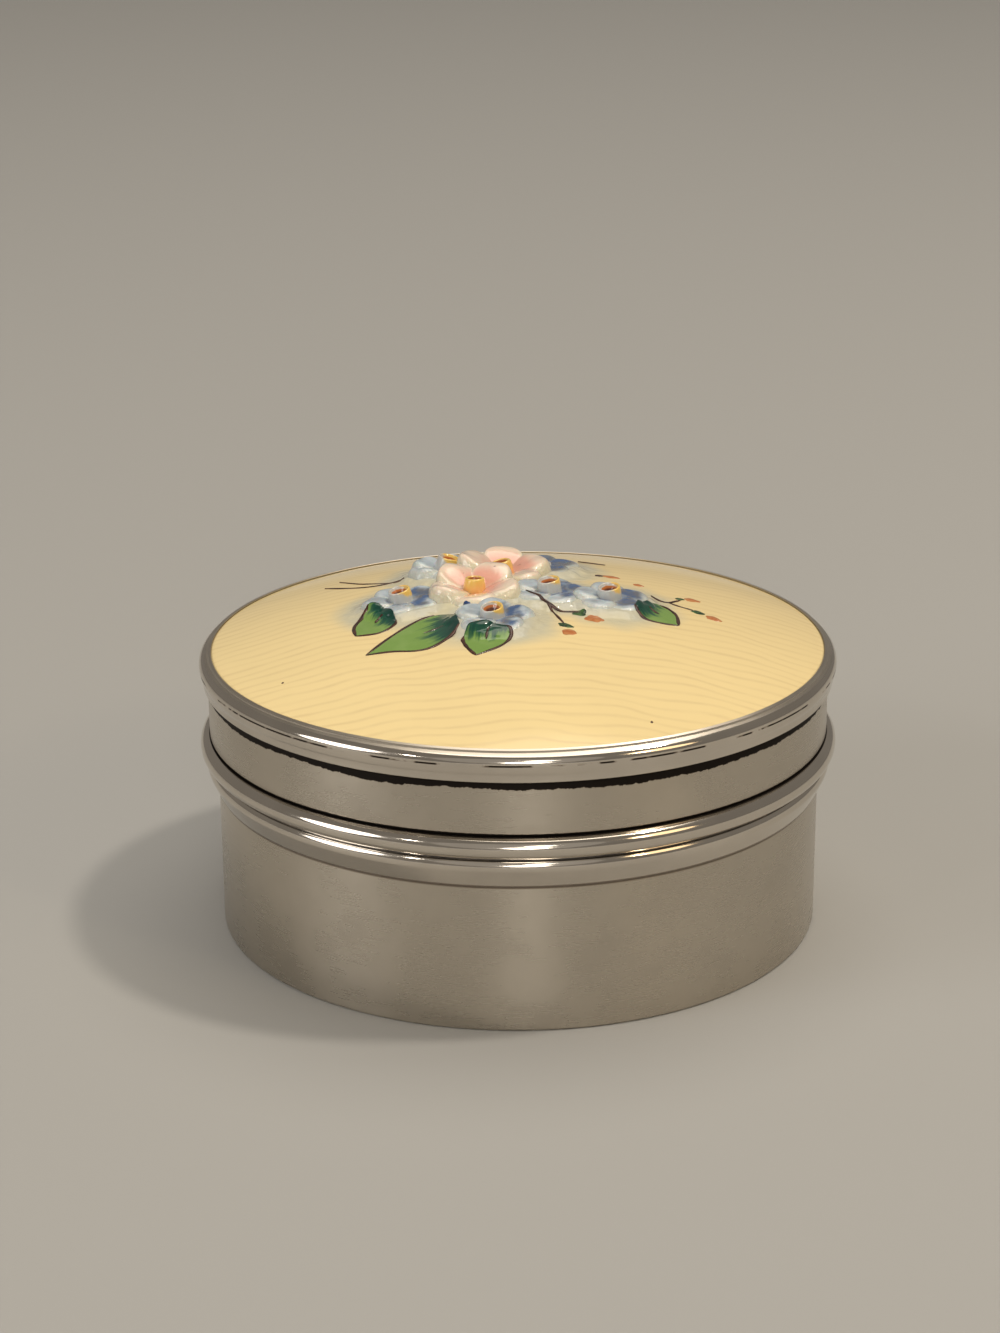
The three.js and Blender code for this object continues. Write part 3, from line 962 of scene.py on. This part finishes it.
STEMS = (
    ("stem_middle", ((0.9, -0.4), (1.9, -1.9), (2.9, -3.3), (4.2, -4.5), (5.5, -4.5), (6.2, -4.6)), 0.28),
    ("stem_middle_branch", ((2.9, -3.3), (3.8, -5.6), (4.5, -7.6)), 0.17),
    ("stem_right", ((13.4, 2.6), (14.2, 1.3), (15.0, 1.0), (15.7, 1.7), (16.3, 2.4)), 0.24),
    ("stem_right_branch", ((15.0, 1.0), (16.2, 0.2), (17.4, -0.3)), 0.16),
    ("stem_back", ((6.4, 16.5), (7.4, 16.1), (8.3, 15.7), (9.2, 15.3)), 0.26),
    ("stem_left_low", ((-19.8, 10.8), (-17.6, 8.9), (-15.6, 7.8), (-13.8, 7.7), (-12.0, 8.5)), 0.22),
    ("stem_left_high", ((-18.4, 12.8), (-16.4, 10.1), (-14.8, 8.9), (-13.0, 8.1), (-11.5, 8.6)), 0.18),
)
BUDS = (
    ("bud_middle", (7.5, -6.1), 1.80, 1.60, -20, "orange"),
    ("bud_middle_calyx", (6.1, -4.9), 1.30, 1.35, -35, "green"),
    ("bud_low", (5.0, -9.7), 1.35, 1.35, -10, "orange"),
    ("bud_low_calyx", (4.7, -8.1), 1.60, 0.95, -30, "green"),
    ("bud_right", (17.6, 3.2), 1.70, 1.05, -10, "orange"),
    ("bud_right_calyx", (16.3, 2.9), 0.95, 0.75, 10, "green"),
    ("bud_far_right", (19.4, -1.8), 1.65, 1.20, -30, "orange"),
    ("bud_far_right_calyx", (17.9, -0.7), 1.40, 0.95, -35, "green"),
    ("bud_back", (9.6, 8.7), 1.90, 0.95, -20, "orange"),
    ("bud_back_calyx", (8.4, 8.9), 0.90, 0.80, 0, "brown"),
    ("bud_back_pale", (12.3, 6.2), 1.15, 0.80, -25, "orange"),
    ("dot_front", (-4.9, -4.5), 0.80, 0.75, 0, "blue"),
    ("speck_left", (-22.2, -15.1), 0.22, 0.30, 0, "brown"),
    ("speck_right", (12.2, -25.3), 0.25, 0.30, 0, "brown"),
)


def paint_point(x, y, lift):
    """A point of paint, given in millimetres, that follows the dome and whatever is raised on it."""
    return on_dome(x * MM, y * MM, relief(x * MM, y * MM) + lift)


def curve_point(points, share):
    """A point on the smooth curve through the given points, from 0 at the first to 1 at the last."""
    place = share * (len(points) - 1)
    index = min(int(place), len(points) - 2)
    t = place - index
    known = [Vector(points[min(max(index + k, 0), len(points) - 1)]) for k in (-1, 0, 1, 2)]
    return 0.5 * (2 * known[1] + (known[2] - known[0]) * t
                  + (2 * known[0] - 5 * known[1] + 4 * known[2] - known[3]) * t * t
                  + (3 * known[1] - known[0] - 3 * known[2] + known[3]) * t ** 3)


def bedded_heights(points, steps):
    """Heights at even steps along a curve: over what is raised, with the hollows between lumps filled."""
    raw = [relief(*(curve_point(points, step / steps) * MM)) for step in range(steps + 1)]
    heights = []
    for step in range(steps + 1):
        nearby = raw[max(0, step - 3):step + 4]
        heights.append(max(raw[step], sum(nearby) / len(nearby)))
    return heights


def painted_stroke(name, points, width, material, steps=28):
    """A brush stroke: a narrow ribbon, rounded across, that follows the lid's surface."""
    heights = bedded_heights(points, steps)
    bm = bmesh.new()
    bmesh.ops.create_grid(bm, x_segments=steps, y_segments=4, size=1.0)
    for vert in bm.verts:
        share = (vert.co.x + 1) / 2
        side = vert.co.y
        here = curve_point(points, share)
        ahead = curve_point(points, min(1.0, share + 0.02))
        behind = curve_point(points, max(0.0, share - 0.02))
        run = (ahead - behind).normalized()
        ends = min(1.0, STROKE_TAPER + 4.0 * min(share, 1 - share))
        half = 0.72 * width * ends * (1 + 0.7 * noise.noise(Vector((share * 4, len(name), 0))))
        spot = (here + Vector((-run.y, run.x)) * half * side) * MM
        lift = STROKE_CROWN * (1 - side * side) + STROKE_FOOT
        vert.co = on_dome(spot.x, spot.y, heights[round(share * steps)] + lift)
    thicken(bm)
    enamelled(name, bm, material, 70)


def thicken(bm):
    """Closes a sheet of paint into a thin solid whose foot lies in the enamel."""
    bmesh.ops.recalc_face_normals(bm, faces=bm.faces)
    sheet = bm.verts[:] + bm.edges[:] + bm.faces[:]
    made = bmesh.ops.extrude_face_region(bm, geom=sheet, use_keep_orig=True)
    centre = Vector((0, 0, DOME_CENTRE))
    for item in made["geom"]:
        if isinstance(item, bmesh.types.BMVert):
            item.co += (centre - item.co).normalized() * PAINT_DEPTH
    bmesh.ops.recalc_face_normals(bm, faces=bm.faces)


class TRINKET_OT_leaves(bpy.types.Operator):
    """Paint the leaves with their outlines and veins"""

    bl_idname = "trinket.leaves"
    bl_label = "Leaves"

    def execute(self, context):
        look = context.scene.trinket_bouquet
        paint = leaf_finish()
        brown = paint_finish("stroke_paint", look.stroke_brown, look.stroke_thin)
        for name, base, tip, left, right in LEAVES:
            self.leaf(name, (base, *left, tip), (base, *right, tip), paint, brown)
        return {"FINISHED"}

    def leaf(self, name, left, right, paint, brown):
        bm = bmesh.new()
        along = point_layer(bm, "along")
        across = point_layer(bm, "across")
        bmesh.ops.create_grid(bm, x_segments=60, y_segments=30, size=1.0)
        for vert in bm.verts:
            share = (vert.co.x + 1) / 2
            side = vert.co.y
            place = curve_point(left, share).lerp(curve_point(right, share), (side + 1) / 2)
            raised = LEAF_RISE * (1 - smooth_step(0.2, 0.5, share)) * (1 - 0.8 * side ** 2)
            vert[along] = share
            vert[across] = side
            vert.co = paint_point(place.x, place.y, LEAF_LIFT + raised - 0.02 * MM * abs(side) ** 6)
        bmesh.ops.remove_doubles(bm, verts=bm.verts, dist=0.01 * MM)
        thicken(bm)
        enamelled(name, bm, paint, 70)
        for edge, first, width in ((left, 0.45, 0.27), (right, 0.18, 0.24)):
            points = [tuple(curve_point(edge, first + (1 - first) * step / 7)) for step in range(8)]
            painted_stroke(f"{name}_outline_{'left' if edge is left else 'right'}", points, width, brown)
        vein = [tuple(curve_point(left, share).lerp(curve_point(right, share), 0.5))
                for share in (0.34, 0.44, 0.58)]
        painted_stroke(name + "_vein", vein, 0.20, brown, 12)


class TRINKET_OT_stems(bpy.types.Operator):
    """Paint the fine stems and the buds"""

    bl_idname = "trinket.stems"
    bl_label = "Stems and buds"

    def execute(self, context):
        look = context.scene.trinket_bouquet
        brown = paint_finish("stem_paint", look.stroke_brown, look.stroke_thin)
        paints = {
            "orange": paint_finish("bud_paint", look.bud_orange, look.bud_pale),
            "green": paint_finish("calyx_paint", look.calyx_dark, look.calyx_pale),
            "brown": brown,
            "blue": paint_finish("dot_paint", look.dot_dark, look.deep_blue),
        }
        for name, points, width in STEMS:
            painted_stroke(name, points, width, brown)
        for name, place, length, width, turn, colour in BUDS:
            self.bud(name, Vector(place), length, width, math.radians(turn), paints[colour])
        return {"FINISHED"}

    def bud(self, name, place, length, width, turn, paint):
        bm = bmesh.new()
        bmesh.ops.create_uvsphere(bm, u_segments=24, v_segments=12, radius=1.0)
        for vert in bm.verts:
            ruffle = noise.noise(vert.co * 1.6 + Vector((len(name), 0, 0)))
            x = vert.co.x * 0.5 * length * (1 + 0.25 * ruffle)
            y = vert.co.y * 0.5 * width * (1 + 0.35 * ruffle) * (1 - 0.25 * vert.co.x)
            spot = place + Vector((x * math.cos(turn) - y * math.sin(turn),
                                   x * math.sin(turn) + y * math.cos(turn)))
            vert.co = paint_point(spot.x, spot.y, vert.co.z * BUD_RISE)
        enamelled(name, bm, paint, 80)


# The lights: place and size across in metres, power in watts, colour
LIGHTS = (
    ("key_light", (0.42, -0.02, 0.90), 0.09, 2.8, (1.0, 0.90, 0.77)),
    ("overhead_light", (0.20, 0.45, 2.0), 1.7, 15.5, (1.0, 0.92, 0.80)),
    ("front_light", (0.10, -0.73, 0.50), 0.14, 0.30, (1.0, 0.93, 0.82)),
    ("right_light", (0.53, -0.51, 0.50), 0.07, 0.30, (1.0, 0.86, 0.62)),
    ("warm_card", (0.62, -0.44, 0.52), 0.36, 0.65, (1.0, 0.74, 0.42)),
    ("left_light", (-0.47, -0.56, 0.50), 0.06, 0.18, (1.0, 0.95, 0.88)),
    ("left_strip", (-0.78, -0.36, 0.34), 0.50, 2.1, (1.0, 0.97, 0.94)),
    ("front_strip", (0.04, -0.86, 0.24), 0.24, 0.80, (1.0, 0.95, 0.88)),
    ("front_card", (0.0, -1.1, 0.65), 1.3, 0.7, (1.0, 0.95, 0.88)),
)


class TRINKET_OT_stage(bpy.types.Operator):
    """Set the plain floor, the soft lights and the camera"""

    bl_idname = "trinket.stage"
    bl_label = "Stage"

    def execute(self, context):
        look = context.scene.trinket_stage
        self.floor(look)
        self.camera(context, look)
        for name, place, size, power, colour in LIGHTS:
            self.light(name, Vector(place), size, power, colour, look.aim_height)
        world = bpy.data.worlds.new("soft_room")
        context.scene.world = world
        world.use_nodes = True
        room = world.node_tree.nodes["Background"]
        room.inputs["Color"].default_value = rgba(look.room_colour)
        room.inputs["Strength"].default_value = look.room_strength
        context.scene.view_settings.view_transform = "Standard"
        return {"FINISHED"}

    def floor(self, look):
        bm = bmesh.new()
        bmesh.ops.create_grid(bm, x_segments=8, y_segments=8, size=look.floor_reach)
        paint = Finish("floor_paint").surface(Base_Color=rgba(look.floor_colour), Roughness=0.7)
        floor = meshed("floor", bm, paint)

    def camera(self, context, look):
        data = bpy.data.cameras.new("camera")
        data.lens = look.lens
        data.sensor_width = 36.0
        data.clip_start = 0.01
        camera = placed("camera", data)
        facing = Matrix.Rotation(look.camera_yaw, 4, "Z")
        facing = facing @ Matrix.Rotation(math.pi / 2 - look.camera_pitch, 4, "X")
        facing = facing @ Matrix.Rotation(look.camera_roll, 4, "Z")
        stand = Matrix.Translation((0, -look.camera_distance, look.camera_height))
        camera.matrix_world = stand @ facing
        context.scene.camera = camera

    def light(self, name, place, size, power, colour, aim_height):
        data = bpy.data.lights.new(name, "AREA")
        data.shape = "DISK"
        data.size = size
        data.energy = power
        data.color = colour
        lamp = placed(name, data)
        lamp.location = place
        aim = Vector((0, 0, aim_height)) - place
        lamp.rotation_mode = "QUATERNION"
        lamp.rotation_quaternion = aim.to_track_quat("-Z", "Y")


class TRINKET_PT_panel(bpy.types.Panel):
    """Lists the box's pieces and their settings"""

    bl_idname = "TRINKET_PT_panel"
    bl_label = "Trinket Box"
    bl_space_type = "VIEW_3D"
    bl_region_type = "UI"
    bl_category = "Trinket Box"

    def draw(self, context):
        for kind in OPERATORS:
            self.layout.operator(kind.bl_idname)
        for key in SETTINGS:
            group = getattr(context.scene, key)
            for name in group.__annotations__:
                self.layout.prop(group, name)


SETTINGS = {
    "trinket_silver": SilverSettings,
    "trinket_enamel": EnamelSettings,
    "trinket_bouquet": BouquetSettings,
    "trinket_stage": StageSettings,
}
OPERATORS = (TRINKET_OT_cup, TRINKET_OT_stop_ring, TRINKET_OT_lid_shell, TRINKET_OT_bezel,
             TRINKET_OT_plaque, TRINKET_OT_flowers, TRINKET_OT_leaves, TRINKET_OT_stems,
             TRINKET_OT_stage)


def register():
    for key, group in SETTINGS.items():
        bpy.utils.register_class(group)
        setattr(bpy.types.Scene, key, bpy.props.PointerProperty(type=group))
    for kind in (*OPERATORS, TRINKET_PT_panel):
        bpy.utils.register_class(kind)


def unregister():
    for kind in reversed((*OPERATORS, TRINKET_PT_panel)):
        bpy.utils.unregister_class(kind)
    for key, group in SETTINGS.items():
        delattr(bpy.types.Scene, key)
        bpy.utils.unregister_class(group)


def main():
    register()
    for kind in OPERATORS:
        getattr(bpy.ops.trinket, kind.bl_idname.split(".")[1])()
    bpy.context.view_layer.update()


if __name__ == "__main__":
    main()
